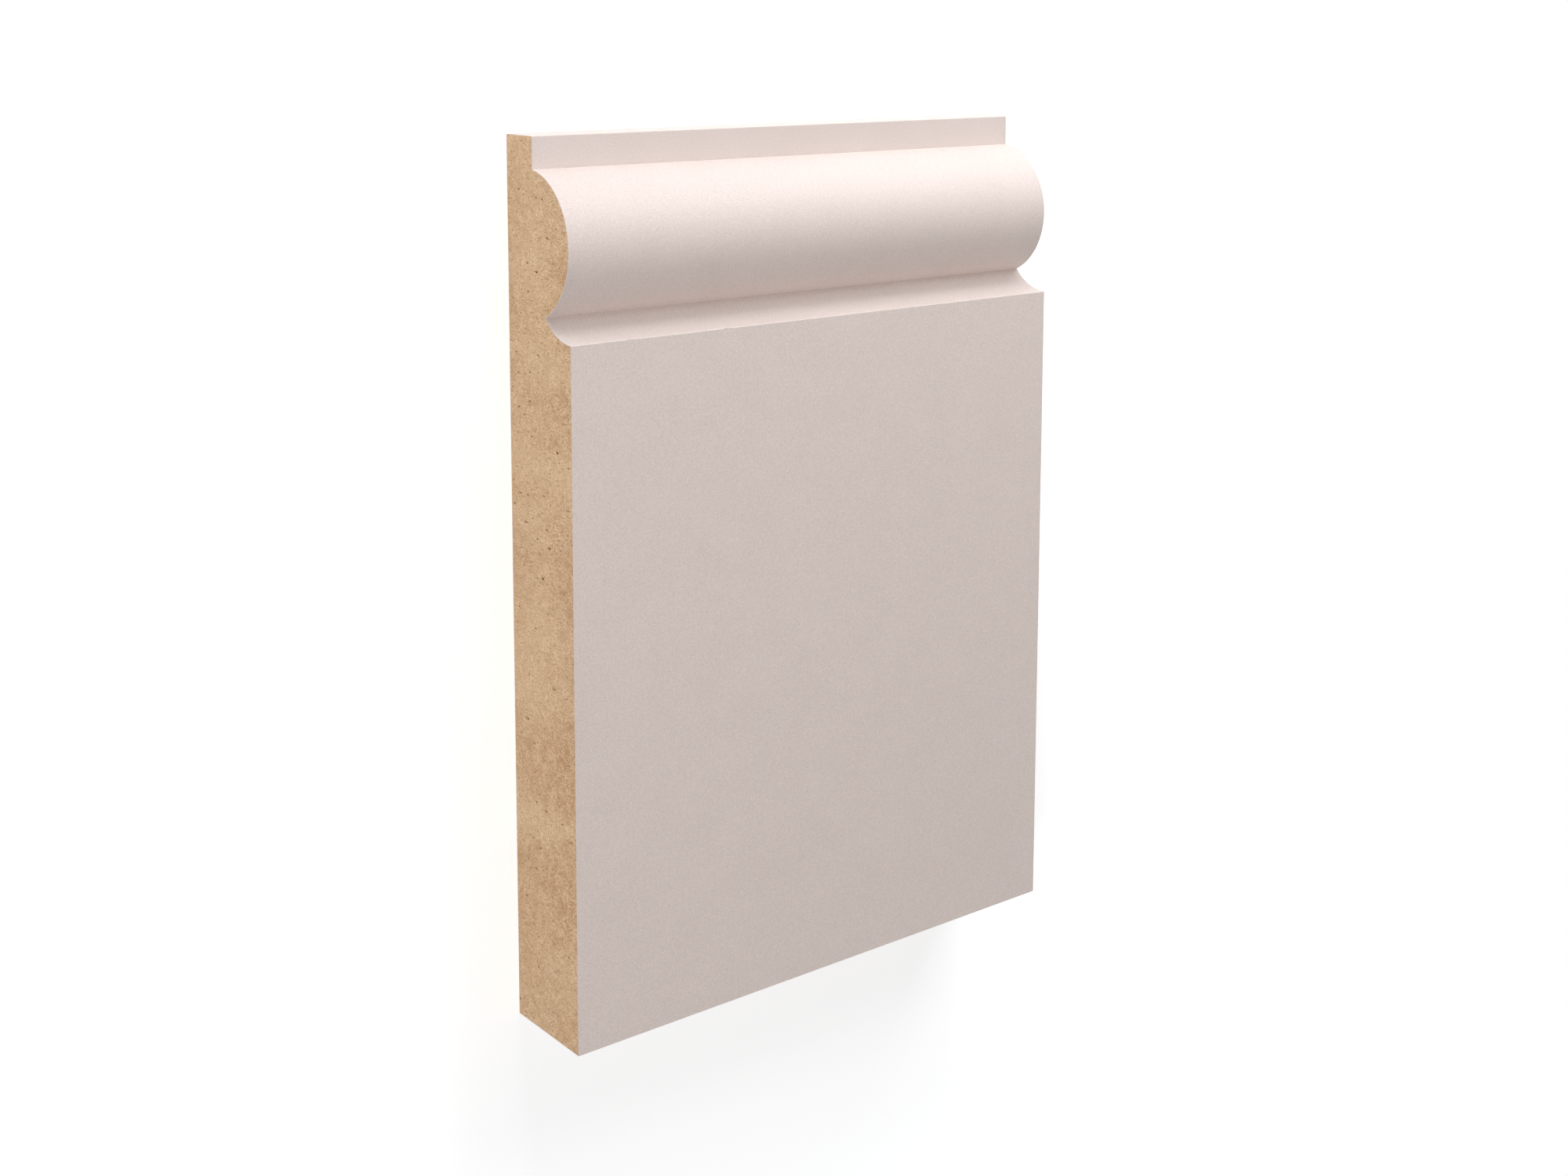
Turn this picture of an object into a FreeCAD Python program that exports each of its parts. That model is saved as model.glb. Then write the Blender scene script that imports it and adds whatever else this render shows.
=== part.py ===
import FreeCAD, Part
import math
import os

import Sketcher

# A length of torus skirting board, moulded along its top edge and sawn square at both ends.
# It lies on its back: X runs along the board, Y from the bottom edge to the moulded top edge,
# and Z from the back to the face. The origin is the centre of the back. Sizes are millimetres.

# Driving sizes. Depths are measured back from the flat face, and heights along Y.
driving_sizes = {
    "board_length": 100.0,
    "board_height": 144.0,
    "board_thickness": 18.0,
    "band_height": 5.1,  # flat band above the torus
    "band_thickness": 7.5,  # of the board behind that band
    "torus_radius": 11.9,
    "crown_setback": 0.35,  # from the face back to the crown of the torus
    "quirk_depth": 7.05,  # sharp groove between the torus and the cove
    "cove_height": 3.4,  # from the top of the face up to the quirk
    "arris_radius": 0.3,  # eased long edges of the moulded side
}

doc = FreeCAD.newDocument("skirting_board_length")


def fill_sheet(sizes):
    """The spreadsheet that drives the model, with one named cell for each size."""
    sheet = doc.addObject("Spreadsheet::Sheet", "Sizes")
    for row, (name, value) in enumerate(sizes.items(), start=1):
        sheet.set(f"A{row}", name)
        sheet.set(f"B{row}", str(value))
        sheet.setAlias(f"B{row}", name)
    doc.recompute()
    return sheet


def section_points(sheet):
    """The corners and arc centres of the board's section, x being height and y thickness."""
    face = sheet.board_thickness
    top = sheet.board_height / 2
    band_foot = FreeCAD.Vector(top - sheet.band_height, sheet.band_thickness)

    # The torus springs from the foot of the band, and its crown stops just behind the face.
    centre_y = face - sheet.crown_setback - sheet.torus_radius
    rise = math.sqrt(sheet.torus_radius**2 - (band_foot.y - centre_y) ** 2)
    torus_centre = FreeCAD.Vector(band_foot.x - rise, centre_y)

    # It runs down to the quirk, which it cuts at the quirk's depth.
    quirk_y = face - sheet.quirk_depth
    drop = math.sqrt(sheet.torus_radius**2 - (quirk_y - centre_y) ** 2)
    quirk = FreeCAD.Vector(torus_centre.x - drop, quirk_y)

    # The cove is centred on the line of the face, so that it meets the face squarely.
    cove_radius = (sheet.quirk_depth**2 + sheet.cove_height**2) / (2 * sheet.cove_height)
    face_top = FreeCAD.Vector(quirk.x - sheet.cove_height, face)

    return {
        "back_bottom": FreeCAD.Vector(-top, 0),
        "back_top": FreeCAD.Vector(top, 0),
        "band_top": FreeCAD.Vector(top, sheet.band_thickness),
        "band_foot": band_foot,
        "torus_centre": torus_centre,
        "quirk": quirk,
        "cove_centre": FreeCAD.Vector(face_top.x + cove_radius, face),
        "face_top": face_top,
        "face_bottom": FreeCAD.Vector(-top, face),
    }


def line(points, start, end):
    return Part.LineSegment(points[start], points[end])


def arc(points, centre, start, end):
    """The arc that runs anticlockwise about its centre."""
    to_start = points[start] - points[centre]
    to_end = points[end] - points[centre]
    circle = Part.Circle(points[centre], FreeCAD.Vector(0, 0, 1), to_start.Length)
    return Part.ArcOfCircle(
        circle, math.atan2(to_start.y, to_start.x), math.atan2(to_end.y, to_end.x)
    )


def draw_section(sketch, sheet):
    """The closed outline of the board's section, fully held by the driving sizes."""
    points = section_points(sheet)
    back = sketch.addGeometry(line(points, "back_bottom", "back_top"))
    top_edge = sketch.addGeometry(line(points, "back_top", "band_top"))
    band = sketch.addGeometry(line(points, "band_top", "band_foot"))
    torus = sketch.addGeometry(arc(points, "torus_centre", "band_foot", "quirk"))
    cove = sketch.addGeometry(arc(points, "cove_centre", "face_top", "quirk"))
    face = sketch.addGeometry(line(points, "face_top", "face_bottom"))
    bottom_edge = sketch.addGeometry(line(points, "face_bottom", "back_bottom"))

    start, end, centre = 1, 2, 3
    sketch_origin = (-1, 1)

    def hold(kind, *picks):
        return sketch.addConstraint(Sketcher.Constraint(kind, *picks))

    def drive(name, kind, *picks, terms=None):
        """A dimension bound to the size of its own name, or to the sum of its terms."""
        terms = terms or [name]
        value = sum(sheet.get(term) for term in terms)
        sketch.renameConstraint(hold(kind, *picks, float(value)), name)
        sketch.setExpression(f"Constraints.{name}", " + ".join(f"Sizes.{term}" for term in terms))

    # The corners, in order round the outline.
    hold("Coincident", back, end, top_edge, start)
    hold("Coincident", top_edge, end, band, start)
    hold("Coincident", band, end, torus, start)
    hold("Coincident", torus, end, cove, end)
    hold("Coincident", cove, start, face, start)
    hold("Coincident", face, end, bottom_edge, start)
    hold("Coincident", bottom_edge, end, back, start)

    # The back lies on the horizontal axis, centred on the origin.
    hold("Symmetric", back, start, back, end, *sketch_origin)
    hold("Horizontal", back)
    hold("Vertical", top_edge)
    hold("Horizontal", band)
    hold("Horizontal", face)
    hold("Vertical", bottom_edge)
    hold("PointOnObject", cove, centre, face)

    drive("board_height", "DistanceX", back, start, back, end)
    drive("board_thickness", "DistanceY", bottom_edge, end, bottom_edge, start)
    drive("band_thickness", "DistanceY", top_edge, start, top_edge, end)
    drive("band_height", "DistanceX", band, end, band, start)
    drive("torus_radius", "Radius", torus)
    drive(
        "torus_depth",
        "DistanceY", torus, centre, face, start,
        terms=["torus_radius", "crown_setback"],
    )
    drive("quirk_depth", "DistanceY", torus, end, face, start)
    drive("cove_height", "DistanceX", face, start, torus, end)


def long_edges(shape, corners):
    """The edges of a shape centred on X = 0 that run along X through corners of the section."""
    middles = [FreeCAD.Vector(0, corner.x, corner.y) for corner in corners]
    same_place = 0.001
    return [
        f"Edge{number}"
        for number, edge in enumerate(shape.Edges, start=1)
        if any(edge.CenterOfMass.distanceToPoint(middle) < same_place for middle in middles)
    ]


def make_board(sheet):
    """The board: its section run along X, with the long outer arrises of the face side eased."""
    body = doc.addObject("PartDesign::Body", "SkirtingBoard")
    body.Label = "skirting_board"
    body.Placement = FreeCAD.Placement()
    cross_plane = next(item for item in body.Origin.OriginFeatures if item.Role == "YZ_Plane")

    section = body.newObject("Sketcher::SketchObject", "Section")
    section.AttachmentSupport = [(cross_plane, "")]
    section.MapMode = "FlatFace"
    draw_section(section, sheet)
    doc.recompute()

    length = body.newObject("PartDesign::Pad", "Length")
    length.Profile = section
    length.SideType = "Symmetric"
    length.setExpression("Length", "Sizes.board_length")
    doc.recompute()

    points = section_points(sheet)
    arrises = [points[corner] for corner in ("band_top", "face_top", "face_bottom")]
    eased = body.newObject("PartDesign::Fillet", "EasedArrises")
    eased.Base = (length, long_edges(length.Shape, arrises))
    eased.setExpression("Radius", "Sizes.arris_radius")
    body.Tip = eased
    doc.recompute()
    return body


def check_model(bodies):
    """Stop here if anything failed, or if a piece isn't one sound solid."""
    for item in doc.Objects:
        if {"Invalid", "Error"} & set(item.State):
            raise RuntimeError(f"{item.Name} failed: {item.State}")
    for body in bodies:
        if body.Shape.isNull() or not body.Shape.isValid() or len(body.Shape.Solids) != 1:
            raise RuntimeError(f"{body.Label} isn't one valid solid")


board = make_board(fill_sheet(driving_sizes))
check_model([board])

os.makedirs("parts", exist_ok=True)
board.Shape.exportStep(f"parts/{board.Label}.step")
box = board.Shape.BoundBox
print(f"{board.Label}: {box.XLength:.2f} x {box.YLength:.2f} x {box.ZLength:.2f} mm")
print(f"volume {board.Shape.Volume / 1000:.2f} cubic centimetres")
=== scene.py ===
import bpy
import bmesh
import math
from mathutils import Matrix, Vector


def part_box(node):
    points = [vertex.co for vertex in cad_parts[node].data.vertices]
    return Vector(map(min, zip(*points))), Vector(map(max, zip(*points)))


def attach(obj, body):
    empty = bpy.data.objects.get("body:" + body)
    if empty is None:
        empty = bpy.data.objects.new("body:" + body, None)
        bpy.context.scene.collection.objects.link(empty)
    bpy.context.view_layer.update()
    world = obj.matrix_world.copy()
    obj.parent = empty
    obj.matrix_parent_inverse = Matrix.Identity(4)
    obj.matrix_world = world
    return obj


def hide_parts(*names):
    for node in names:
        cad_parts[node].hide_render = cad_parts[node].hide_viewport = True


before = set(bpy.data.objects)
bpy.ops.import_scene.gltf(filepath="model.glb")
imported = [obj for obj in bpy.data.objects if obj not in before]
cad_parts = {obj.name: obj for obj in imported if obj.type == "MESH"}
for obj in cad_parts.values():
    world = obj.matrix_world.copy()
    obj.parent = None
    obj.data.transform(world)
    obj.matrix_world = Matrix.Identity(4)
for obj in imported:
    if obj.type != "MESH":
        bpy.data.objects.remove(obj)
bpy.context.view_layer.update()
boardLow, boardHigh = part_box("skirting_board")
mm = 0.001
print("loaded the board,", [round(side / mm, 2) for side in boardHigh - boardLow], "mm")


# The camera, at the photograph's viewing angle. The board lies on its back,
# so the camera looks down on it and its top edge is up in the picture.

viewpoint = {
    "place": (-0.21366, 0.09150, 0.27858),
    "turn": (-7.465, -38.075, 0.162),  # degrees about X, Y and Z
    "lens": 47.444,
    "shiftY": -0.2,
}


def placeCamera(settings):
    lens = bpy.data.cameras.new("photoCamera")
    lens.lens = settings["lens"]
    lens.shift_y = settings["shiftY"]
    lens.clip_start = 10 * mm
    camera = bpy.data.objects.new("photoCamera", lens)
    bpy.context.scene.collection.objects.link(camera)
    camera.location = settings["place"]
    camera.rotation_euler = [math.radians(angle) for angle in settings["turn"]]
    bpy.context.scene.camera = camera
    print("camera placed")


# Maths on shader nodes, written as plain expressions

class Signal:  # one output of a node
    def __init__(self, finish, socket):
        self.finish = finish
        self.socket = socket

    def __add__(self, other):
        return self.finish.maths("ADD", self, other)

    def __radd__(self, other):
        return self.finish.maths("ADD", other, self)

    def __sub__(self, other):
        return self.finish.maths("SUBTRACT", self, other)

    def __rsub__(self, other):
        return self.finish.maths("SUBTRACT", other, self)

    def __mul__(self, other):
        return self.finish.maths("MULTIPLY", self, other)

    def __rmul__(self, other):
        return self.finish.maths("MULTIPLY", other, self)


class Finish:  # the nodes of one material or of the world, and the few ways they are added
    def __init__(self, owner):
        owner.use_nodes = True
        self.owner = owner
        self.tree = owner.node_tree
        self.tree.nodes.clear()

    def add(self, kind, settings=None, sockets=None, output=0):
        node = self.tree.nodes.new(kind)
        for name, value in (settings or {}).items():
            setattr(node, name, value)
        for name, value in (sockets or {}).items():
            if isinstance(value, Signal):
                self.tree.links.new(value.socket, node.inputs[name])
            else:
                node.inputs[name].default_value = value
        return Signal(self, node.outputs[output]) if node.outputs else None

    def maths(self, operation, first, second):
        return self.add("ShaderNodeMath", {"operation": operation}, {0: first, 1: second})

    def larger(self, first, second):
        return self.maths("MAXIMUM", first, second)

    def rise(self, value, start, end):  # 0 before start, 1 after end, smooth between them
        return self.add(
            "ShaderNodeMapRange",
            {"interpolation_type": "SMOOTHSTEP"},
            {"Value": value, "From Min": start, "From Max": end},
        )

    def mix(self, amount, under, over):
        return self.add(
            "ShaderNodeMix",
            {"data_type": "RGBA"},
            {0: amount, 6: under, 7: over},
            output=2,
        )

    # The place on the piece, in millimetres; a number under 1 draws a pattern out that way
    def millimetres(self, stretch=(1, 1, 1)):
        place = self.add("ShaderNodeTexCoord", output="Object")
        return self.add(
            "ShaderNodeMapping", sockets={"Vector": place, "Scale": [s / mm for s in stretch]}
        )

    def noise(self, place, perMm, detail=2.0, roughness=0.5, distortion=0.0, output=0):
        return self.add(
            "ShaderNodeTexNoise",
            sockets={
                "Vector": place,
                "Scale": perMm,
                "Detail": detail,
                "Roughness": roughness,
                "Distortion": distortion,
            },
            output=output,
        )

    def bump(self, height, distance, under=None):
        sockets = {"Height": height, "Distance": distance, "Strength": 1.0}
        if under:
            sockets["Normal"] = under
        return self.add("ShaderNodeBump", sockets=sockets)

    def surface(self, **sockets):
        shader = self.add(
            "ShaderNodeBsdfPrincipled",
            sockets={name.replace("_", " "): value for name, value in sockets.items()},
        )
        self.add("ShaderNodeOutputMaterial", sockets={"Surface": shader})
        return self.owner


def colour(red, green, blue):  # a colour as a paint program gives it, from 0 to 255
    def level(value):
        value /= 255
        return value / 12.92 if value <= 0.04045 else ((value + 0.055) / 1.055) ** 2.4

    return (level(red), level(green), level(blue), 1)


# Primer: matt, off-white and faintly pink, with the fine stipple of a sprayed coat

primer = {
    "thin": colour(191, 177, 171),
    "full": colour(216, 202, 196),
    "stipplePerMm": 5.2,
    "stippleTone": 1.65,
    "stippleDepth": 0.01 * mm,
    "blotchPerMm": 0.11,
    "blotchTone": 0.3,
    "peelPerMm": 0.5,  # the wider, softer waves of the coat
    "peelDepth": 0.007 * mm,
    "roughness": 0.62,
    "roughnessSpread": 0.2,
}


def makePrimer(look):
    finish = Finish(bpy.data.materials.new("primer"))
    place = finish.millimetres()
    stipple = finish.noise(place, look["stipplePerMm"], detail=1.5)
    blotch = finish.noise(place, look["blotchPerMm"], detail=4, roughness=0.6)
    peel = finish.noise(place, look["peelPerMm"], detail=1)
    tone = 0.5 + (stipple - 0.5) * look["stippleTone"] + (blotch - 0.5) * look["blotchTone"]
    relief = finish.bump(peel, look["peelDepth"])
    return finish.surface(
        Base_Color=finish.mix(tone, look["thin"], look["full"]),
        Roughness=look["roughness"] + (blotch - 0.5) * look["roughnessSpread"],
        Normal=finish.bump(stipple, look["stippleDepth"], relief),
    )


# Bare fibreboard: even tan, felted fibres, soft clouds and scattered dark specks of bark

sawnEnd = {
    "name": "sawnFibreboard",
    "deep": colour(161, 115, 75),
    "middle": colour(213, 180, 143),
    "pale": colour(237, 210, 176),
    "deepToMiddle": (0.1, 0.55),
    "middleToPale": (0.45, 0.95),
    "cloudPerMm": 0.066,
    "cloudTone": 0.56,
    "cloudStretch": (1, 1, 0.3),  # a cloud reaches through most of the thickness
    "patchPerMm": 0.5,
    "patchTone": 0.45,
    "fibrePerMm": 3.4,
    "fibreTone": 1.4,
    "fibreStretch": (1, 1.3, 0.9),
    "feltLeast": 0.55,  # the fibres show more in the paler patches
    "feltMore": 0.9,
    "feltPatch": (0.35, 0.65),
    "skinTone": 0.055,  # denser and darker towards the moulded face
    "skinDepth": (6, 18),  # millimetres from the back
    "strayPerMm": 0.9,  # the specks and fibres wander off their line
    "strayMm": 0.9,
    "levelStretch": (1, 1.3, 0.5),
    "uprightStretch": (1, 0.5, 1.3),
    # Specks: cells in a millimetre, the share of the cells that have one, and its size in cells
    "levelBark": (0.45, 0.18, 0.17),
    "uprightBark": (0.5, 0.18, 0.17),
    "levelChips": (0.75, 0.07, 0.2),
    "uprightChips": (0.6, 0.07, 0.18),
    "crumbs": (1.7, 0.3, 0.35),
    "speckEdge": 0.8,  # the share of its size at which a speck starts to fade
    "bark": colour(66, 36, 16),
    "barkShow": 1.0,
    "barkPit": 0.8,
    "chip": colour(138, 94, 56),
    "chipShow": 0.85,
    "crumbShow": 0.28,
    "fibreRelief": 0.035 * mm,
    "roughness": 0.86,
    "roughnessSpread": 0.15,
}

sandedBack = {
    **sawnEnd,
    "name": "sandedFibreboard",
    "deep": colour(160, 127, 92),
    "middle": colour(194, 162, 126),
    "pale": colour(210, 180, 144),
    "barkShow": 0.55,
    "crumbShow": 0.3,
    "fibreRelief": 0.012 * mm,
    "roughness": 0.7,
}


def makeFibreboard(look):
    finish = Finish(bpy.data.materials.new(look["name"]))
    place = finish.millimetres()
    wander = finish.noise(place, look["strayPerMm"], output="Color")

    # The place pushed about, and drawn out along one way, so that specks lie every way
    def strayed(stretch):
        return finish.add(
            "ShaderNodeVectorMath",
            {"operation": "MULTIPLY_ADD"},
            {0: wander, 1: [look["strayMm"]] * 3, 2: finish.millimetres(stretch)},
        )

    upright = strayed(look["uprightStretch"])
    level = strayed(look["levelStretch"])
    thread = strayed(look["fibreStretch"])

    # The tone of the wood: clouds, patches and fibres, and the skin under the face
    broad = finish.millimetres(look["cloudStretch"])
    cloud = finish.noise(broad, look["cloudPerMm"], detail=2, roughness=0.6)
    patch = finish.noise(place, look["patchPerMm"], detail=3, roughness=0.6, distortion=0.5)
    fibre = finish.noise(thread, look["fibrePerMm"], detail=3, roughness=0.7, distortion=0.8)
    felt = look["feltLeast"] + finish.rise(patch, *look["feltPatch"]) * look["feltMore"]
    depth = finish.add("ShaderNodeSeparateXYZ", sockets={"Vector": place}, output="Z")
    tone = (
        0.5
        - finish.rise(depth, *look["skinDepth"]) * look["skinTone"]
        + (cloud - 0.5) * look["cloudTone"]
        + (patch - 0.5) * look["patchTone"]
        + (fibre - 0.5) * felt * look["fibreTone"]
    )

    # Specks: some cells of a cell pattern, each with a blot at its heart
    def specks(way, perMm, share, size):
        edge = look["speckEdge"]
        cells = {"Vector": way, "Scale": perMm}
        far = finish.add("ShaderNodeTexVoronoi", sockets=cells, output="Distance")
        chance = finish.add("ShaderNodeTexVoronoi", sockets=cells, output="Color")
        odds = finish.add("ShaderNodeSeparateColor", sockets={"Color": chance}, output="Red")
        chosen = finish.rise(odds, 1 - share, 1 - share * edge)
        return chosen * (1 - finish.rise(far, size * edge, size))

    bark = finish.larger(
        specks(level, *look["levelBark"]), specks(upright, *look["uprightBark"])
    )
    bark = bark * look["barkShow"]
    chips = finish.larger(
        specks(upright, *look["uprightChips"]), specks(level, *look["levelChips"])
    )
    crumbs = specks(level, *look["crumbs"])
    browned = finish.larger(chips * look["chipShow"], crumbs * look["crumbShow"])

    wood = finish.mix(finish.rise(tone, *look["deepToMiddle"]), look["deep"], look["middle"])
    wood = finish.mix(finish.rise(tone, *look["middleToPale"]), wood, look["pale"])
    wood = finish.mix(browned, wood, look["chip"])
    height = fibre - bark * look["barkPit"]
    return finish.surface(
        Base_Color=finish.mix(bark, wood, look["bark"]),
        Roughness=look["roughness"] + (fibre - 0.5) * look["roughnessSpread"],
        Normal=finish.bump(height, look["fibreRelief"]),
    )


# The dressed board: the section is drawn round from the bottom edge with the board's long
# edge, then cut into lengths, capped with the sawn ends and finished.

board = {
    "bandHeight": 5.1 * mm,
    "bandThickness": 7.5 * mm,
    "torusRadius": 11.9 * mm,
    "crownSetback": 0.35 * mm,
    "quirkDepth": 7.05 * mm,
    "coveHeight": 3.4 * mm,
    "arrisRadius": 0.15 * mm,  # crisp in the photograph
    "arrisSteps": 5,
    "coveSteps": 16,
    "torusSteps": 72,
    "lengths": 40,
    "endArris": 0.05 * mm,  # the sawn ends are barely eased
    "filmEdge": 0.06 * mm,  # primer seen edge-on round a sawn end
    # Two nibs on the arris above the face: where each starts along the board, length, height
    "nibs": [(-39.5 * mm, 1.5 * mm, 0.14 * mm), (-21.4 * mm, 2.2 * mm, 0.22 * mm)],
    "nibCuts": 8,
    "nibStart": 7,  # times as steep as its tail
    "smoothUnder": 30,  # degrees
}


def pick(piece, kind, test):  # selects what passes the test, in edit mode
    bpy.ops.mesh.select_mode(type=kind)
    bpy.ops.mesh.select_all(action="DESELECT")
    mesh = bmesh.from_edit_mesh(piece.data)
    for item in {"VERT": mesh.verts, "EDGE": mesh.edges, "FACE": mesh.faces}[kind]:
        if test(item):
            item.select_set(True)
    mesh.select_flush_mode()
    bmesh.update_edit_mesh(piece.data)


def isCap(normal, corners):  # a sawn end's own face, with the whole section for its outline
    return abs(normal.x) > 0.999 and corners > 8


def carryOn(rise, out):  # draws the section on in a straight line
    bpy.ops.mesh.extrude_region_move(TRANSFORM_OT_translate={"value": (0, rise, out)})


def sweepRound(centre, degrees, steps):  # draws it on round an arc
    bpy.ops.mesh.spin(
        steps=steps, angle=math.radians(degrees), center=(0, *centre), axis=(-1, 0, 0)
    )


def angleOf(centre, point):
    return math.degrees(math.atan2(point[1] - centre[1], point[0] - centre[0]))


def makeBoard(sizes):
    low, high = boardLow, boardHigh
    thickness = high.z - low.z
    arris = sizes["arrisRadius"]

    # The centres of the arcs, as (height, thickness)
    foot = (high.y - sizes["bandHeight"], sizes["bandThickness"])
    torusOut = thickness - sizes["crownSetback"] - sizes["torusRadius"]
    torus = (foot[0] - math.sqrt(sizes["torusRadius"] ** 2 - (foot[1] - torusOut) ** 2), torusOut)
    quirkOut = thickness - sizes["quirkDepth"]
    quirk = (torus[0] - math.sqrt(sizes["torusRadius"] ** 2 - (quirkOut - torus[1]) ** 2), quirkOut)
    coveRadius = (sizes["quirkDepth"] ** 2 + sizes["coveHeight"] ** 2) / (2 * sizes["coveHeight"])
    cove = (quirk[0] - sizes["coveHeight"] + coveRadius, thickness)
    coveArris = (cove[0] - math.sqrt((coveRadius + arris) ** 2 - arris ** 2), thickness - arris)
    faceArris = (low.y + arris, thickness - arris)
    bandArris = (high.y - arris, sizes["bandThickness"] - arris)

    # The bottom edge, then the rest of the section from its front arris round to the back
    bpy.ops.object.select_all(action="DESELECT")
    bpy.ops.mesh.primitive_plane_add(
        size=1, location=(0, low.y, faceArris[1] / 2), rotation=(math.radians(90), 0, 0)
    )
    piece = bpy.context.object
    piece.name = "primed_board"
    piece.scale = (high.x - low.x, faceArris[1], 1)
    bpy.ops.object.transform_apply(location=True, rotation=True, scale=True)
    bpy.ops.object.mode_set(mode="EDIT")
    near = 0.01 * mm
    pick(piece, "EDGE", lambda edge: all(abs(v.co.z - faceArris[1]) < near for v in edge.verts))
    sweepRound(faceArris, -90, sizes["arrisSteps"])
    carryOn(coveArris[0] - faceArris[0], 0)
    joint = angleOf(coveArris, cove)  # where the arris runs into the cove
    sweepRound(coveArris, joint - 90, sizes["arrisSteps"])
    sweepRound(cove, angleOf(cove, quirk) - joint + 180, sizes["coveSteps"])
    sweepRound(torus, angleOf(torus, foot) - angleOf(torus, quirk), sizes["torusSteps"])
    carryOn(bandArris[0] - foot[0], 0)
    sweepRound(bandArris, -90, sizes["arrisSteps"])
    carryOn(0, -bandArris[1])
    carryOn(low.y - high.y, 0)
    bpy.ops.mesh.select_all(action="SELECT")
    bpy.ops.mesh.remove_doubles(threshold=near)

    # Cut across into short lengths, and finer at the nibs, which start steep and tail off
    pick(piece, "EDGE", lambda edge: abs(edge.verts[0].co.x - edge.verts[1].co.x) > near)
    bpy.ops.mesh.subdivide(number_cuts=sizes["lengths"] - 1)
    for start, length, height in sizes["nibs"]:
        shares = [step / sizes["nibCuts"] for step in range(sizes["nibCuts"] + 1)]
        for share in shares:
            bpy.ops.mesh.select_all(action="SELECT")
            bpy.ops.mesh.bisect(plane_co=(start + length * share, 0, 0), plane_no=(1, 0, 0))
        for share in shares:
            pick(
                piece,
                "VERT",
                lambda v: abs(v.co.x - start - length * share) < near
                and v.co.z > coveArris[1] - near
                and abs(v.co.y - coveArris[0]) < arris + near,
            )
            lift = height * min(sizes["nibStart"] * share, 1 - share)
            bpy.ops.transform.translate(value=(0, lift, 0))

    # The sawn ends, barely eased, with the edge of the primer showing round them
    for side in (low.x, high.x):
        pick(piece, "EDGE", lambda edge: all(abs(v.co.x - side) < near for v in edge.verts))
        bpy.ops.mesh.edge_face_add()
    pick(piece, "FACE", lambda face: isCap(face.normal, len(face.verts)))
    bpy.ops.mesh.region_to_loop()
    bpy.ops.mesh.bevel(offset=sizes["endArris"], segments=2, affect="EDGES")
    pick(piece, "FACE", lambda face: isCap(face.normal, len(face.verts)))
    bpy.ops.mesh.inset(thickness=sizes["filmEdge"], depth=0)
    bpy.ops.mesh.select_all(action="SELECT")
    bpy.ops.mesh.normals_make_consistent(inside=False)
    bpy.ops.object.mode_set(mode="OBJECT")
    print("board drawn,", len(piece.data.polygons), "faces")
    return piece


def dressBoard(piece, sizes):
    for finish in (makePrimer(primer), makeFibreboard(sawnEnd), makeFibreboard(sandedBack)):
        piece.data.materials.append(finish)
    coated, sawn, sanded = range(3)  # their numbers on the piece, in the same order
    for face in piece.data.polygons:
        onBack = abs(face.normal.x) > 0.999 and face.center.z < sizes["filmEdge"]
        if onBack or isCap(face.normal, len(face.vertices)):
            face.material_index = sawn  # no primer is seen edge-on along the bare back
        elif face.normal.z < -0.9:  # the flat back
            face.material_index = sanded
        else:
            face.material_index = coated
    bpy.ops.object.select_all(action="DESELECT")
    piece.select_set(True)
    bpy.context.view_layer.objects.active = piece
    bpy.ops.object.shade_smooth_by_angle(angle=math.radians(sizes["smoothUnder"]))
    weighted = piece.modifiers.new("flats stay flat", "WEIGHTED_NORMAL")
    weighted.keep_sharp = True
    bpy.ops.object.modifier_apply(modifier=weighted.name)
    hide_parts("skirting_board")
    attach(piece, "root")
    print("board dressed")


# The floor, the white surroundings and the lamps

studio = {
    "floorHalf": 4.0,
    "floorGap": 0.05 * mm,  # under the board's back
    "floorTone": (0.8, 0.8, 0.8, 1),
    "floorGlow": 0.38,  # lifts the floor to white where only the camera sees it
    "fadeFrom": 0.12,  # from the board's middle, the floor and its shadow fade into white
    "fadeTo": 0.32,
    "ambient": 0.25,
    # Low lamps don't glint, or the face would glare when it is seen edgeways. The fill casts
    # no shadow, so that it reaches under the torus.
    "lamps": {
        "leftLamp": {"place": (-0.636, 0, 0.636), "sides": (0.5, 0.5), "watts": 4.4},
        "topLamp": {
            "place": (0, 0.582, 0.145),
            "sides": (0.25, 0.25),
            "watts": 2.12,
            "tint": (0.97, 1, 1.025),
            "glints": False,
        },
        "nearLamp": {
            "place": (0.199, 0.344, 0.211),
            "sides": (0.25, 0.25),
            "watts": 1.02,
            "tint": (0.97, 1, 1.025),
        },
        "fillLamp": {
            "place": (0.15, -0.28, 0.05),
            "sides": (0.3, 0.08),
            "watts": 0.14,
            "glints": False,
            "casts": False,
        },
    },
}


# 1 for what the camera sees, straight, in a reflection or through something clear
def background(finish):
    seen = finish.add("ShaderNodeLightPath", output="Is Camera Ray")
    glossy = finish.add("ShaderNodeLightPath", output="Is Glossy Ray")
    through = finish.add("ShaderNodeLightPath", output="Is Transmission Ray")
    return finish.larger(seen, finish.larger(glossy, through))


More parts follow.
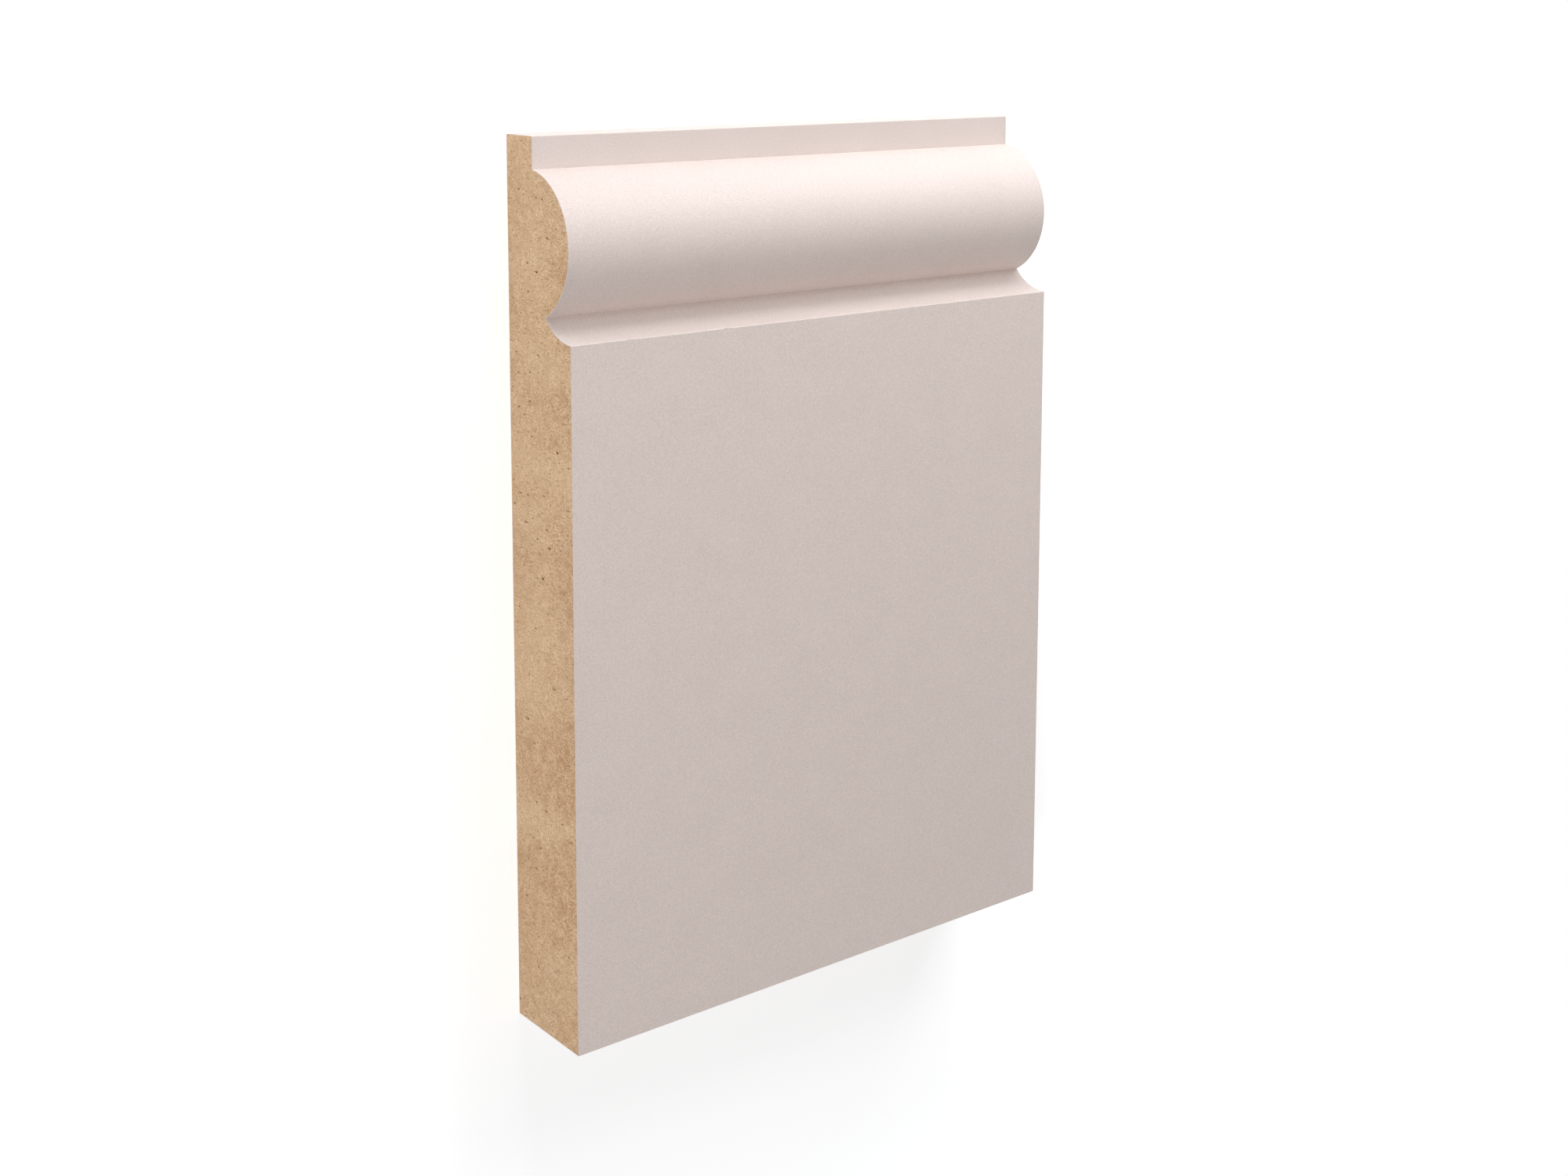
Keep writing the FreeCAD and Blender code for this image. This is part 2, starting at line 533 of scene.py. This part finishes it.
def makeFloor(settings):
    bpy.ops.object.select_all(action="DESELECT")
    bpy.ops.mesh.primitive_plane_add(
        size=2 * settings["floorHalf"], location=(0, 0, -settings["floorGap"])
    )
    floor = bpy.context.object
    floor.name = "studioFloor"
    pale = Finish(bpy.data.materials.new("paleFloor"))
    place = pale.add("ShaderNodeTexCoord", output="Object")
    away = pale.add(
        "ShaderNodeVectorMath", {"operation": "LENGTH"}, {0: place}, output="Value"
    )
    plain = pale.add("ShaderNodeBsdfDiffuse", sockets={"Color": settings["floorTone"]})
    glow = pale.add("ShaderNodeEmission", sockets={"Strength": settings["floorGlow"]})
    near = pale.add("ShaderNodeAddShader", sockets={0: plain, 1: glow})
    white = pale.add("ShaderNodeEmission", sockets={"Strength": 1.0})
    fade = pale.rise(away, settings["fadeFrom"], settings["fadeTo"])
    seen = pale.add("ShaderNodeMixShader", sockets={0: fade, 1: near, 2: white})
    either = pale.add("ShaderNodeMixShader", sockets={0: background(pale), 1: plain, 2: seen})
    pale.add("ShaderNodeOutputMaterial", sockets={"Surface": either})
    floor.data.materials.append(pale.owner)


def makeWorld(settings):
    world = bpy.data.worlds.new("softStudio")
    bpy.context.scene.world = world
    around = Finish(world)
    plain = {"Color": (1, 1, 1, 1)}
    soft = around.add("ShaderNodeBackground", sockets={**plain, "Strength": settings["ambient"]})
    white = around.add("ShaderNodeBackground", sockets={**plain, "Strength": 1.0})
    either = around.add("ShaderNodeMixShader", sockets={0: background(around), 1: soft, 2: white})
    around.add("ShaderNodeOutputWorld", sockets={"Surface": either})


def hangLamps(settings):
    for name, lamp in settings["lamps"].items():
        light = bpy.data.lights.new(name, "AREA")
        light.shape = "RECTANGLE"
        light.size, light.size_y = lamp["sides"]
        light.energy = lamp["watts"]
        light.color = lamp.get("tint", (1, 1, 1))
        light.use_shadow = lamp.get("casts", True)
        hung = bpy.data.objects.new(name, light)
        bpy.context.scene.collection.objects.link(hung)
        hung.location = lamp["place"]
        hung.rotation_euler = (-Vector(lamp["place"])).to_track_quat("-Z", "Y").to_euler()
        hung.visible_camera = False
        hung.visible_glossy = lamp.get("glints", True)


placeCamera(viewpoint)
dressBoard(makeBoard(board), board)
makeFloor(studio)
makeWorld(studio)
hangLamps(studio)
bpy.context.scene.view_settings.view_transform = "Standard"
print("studio lit")
